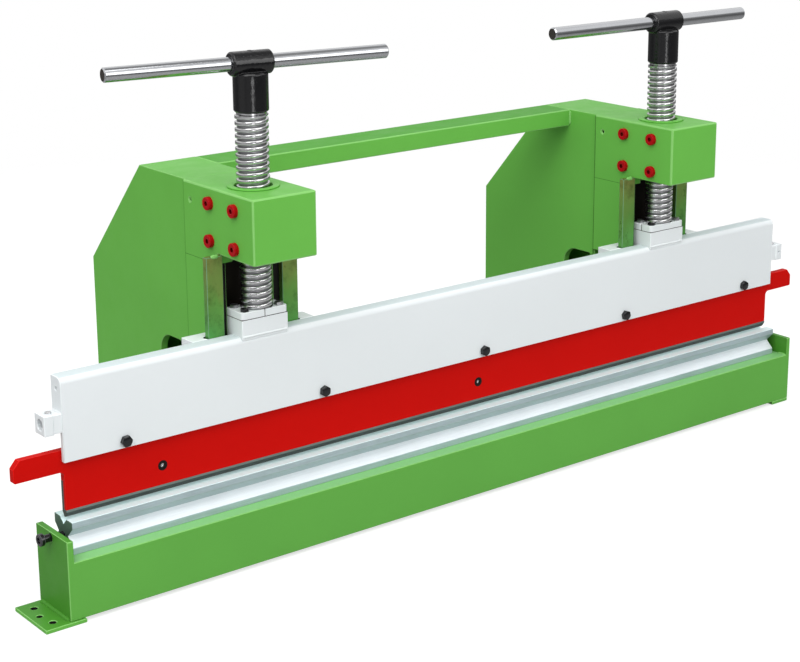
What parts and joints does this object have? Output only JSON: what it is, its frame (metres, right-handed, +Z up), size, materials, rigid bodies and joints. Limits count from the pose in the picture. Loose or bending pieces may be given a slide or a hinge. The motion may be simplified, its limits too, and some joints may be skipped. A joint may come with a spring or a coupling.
{
  "type": "manual press brake",
  "caption": "Bench-top manual press brake: a ram beam with a straight punch, driven down by hand screws with T-bars, over a four-way die on a box base with C-frames.",
  "frame": {"origin": "middle of the machine's outer box at floor level, the plane on which its feet and frames stand", "axes": "+X along the bed towards the end without the clamp screw, +Y from the operator to the rear, +Z up"},
  "size_m": [1.3684, 0.413, 0.6501],
  "materials": {
    "green_paint": "semi-gloss enamel, worn along the edges",
    "ram_white": "gloss enamel with chipped edges",
    "punch_red": "gloss enamel",
    "red_bolts": "gloss enamel",
    "die_steel": "planed and ground along its length",
    "bright_steel": "turned and ground",
    "zinc_yellow": "bare ground bar with yellow passivation",
    "dark_steel": "dull oiled mill scale",
    "black_steel": "black oxide, satin"
  },
  "bodies": {
    "base": {"base_beam": "green_paint", "end_plate_left": "green_paint", "end_plate_right": "green_paint", "foot_left": "green_paint", "foot_right": "green_paint", "die": "die_steel", "die_stop": "bright_steel", "left_frame_plate_outer": "green_paint", "left_frame_plate_inner": "green_paint", "left_frame_cover": "green_paint", "right_frame_plate_inner": "green_paint", "right_frame_plate_outer": "green_paint", "right_frame_cover": "green_paint", "left_column_outer": "green_paint", "left_column_inner": "green_paint", "left_column_web": "dark_steel", "right_column_inner": "green_paint", "right_column_outer": "green_paint", "right_column_web": "dark_steel", "left_head": "green_paint", "right_head": "green_paint", "left_nut": "green_paint", "right_nut": "green_paint", "left_head_bolts": "red_bolts", "right_head_bolts": "red_bolts", "left_guide_strips": "zinc_yellow", "right_guide_strips": "zinc_yellow", "cross_bar": "green_paint"},
    "ram": {"ram_beam": "ram_white", "left_lug": "ram_white", "right_lug": "ram_white", "lug_screws": "bright_steel", "left_guide_hooks": "ram_white", "right_guide_hooks": "ram_white", "punch_plate": "punch_red", "punch_blade": "bright_steel", "punch_bolts": "black_steel", "blade_screws": "bright_steel", "left_screw_block": "ram_white", "right_screw_block": "ram_white", "left_cap_halves": "ram_white", "right_cap_halves": "ram_white", "left_cap_bolts": "black_steel", "right_cap_bolts": "black_steel"},
    "left_spindle": {"left_screw": "bright_steel", "left_hub": "black_steel", "left_tbar": "bright_steel", "left_hub_grub": "black_steel"},
    "right_spindle": {"right_screw": "bright_steel", "right_hub": "black_steel", "right_tbar": "bright_steel", "right_hub_grub": "black_steel"},
    "die_clamp": {"die_clamp_screw": "black_steel"}
  },
  "joints": [
    {"name": "beam_slide", "type": "slide", "parent": "base", "child": "ram", "axis": [0, 0, 1], "range_m": [-0.005, 0.052]},
    {"name": "left_screw_turn", "type": "hinge", "parent": "ram", "child": "left_spindle", "pos_m": [-0.33475, -0.138, 0.3], "axis": [0, 0, 1], "range_deg": [-225, 2340]},
    {"name": "right_screw_turn", "type": "hinge", "parent": "ram", "child": "right_spindle", "pos_m": [0.38625, -0.138, 0.3], "axis": [0, 0, 1], "range_deg": [-225, 2340]},
    {"name": "die_clamp_slide", "type": "slide", "parent": "base", "child": "die_clamp", "axis": [-1, 0, 0], "range_m": [0, 0.008]}
  ],
  "couplings": [
    {"joint": "beam_slide", "follows": "left_screw_turn", "m_per_rad": 0.0012732},
    {"joint": "right_screw_turn", "follows": "left_screw_turn", "ratio": 1}
  ]
}
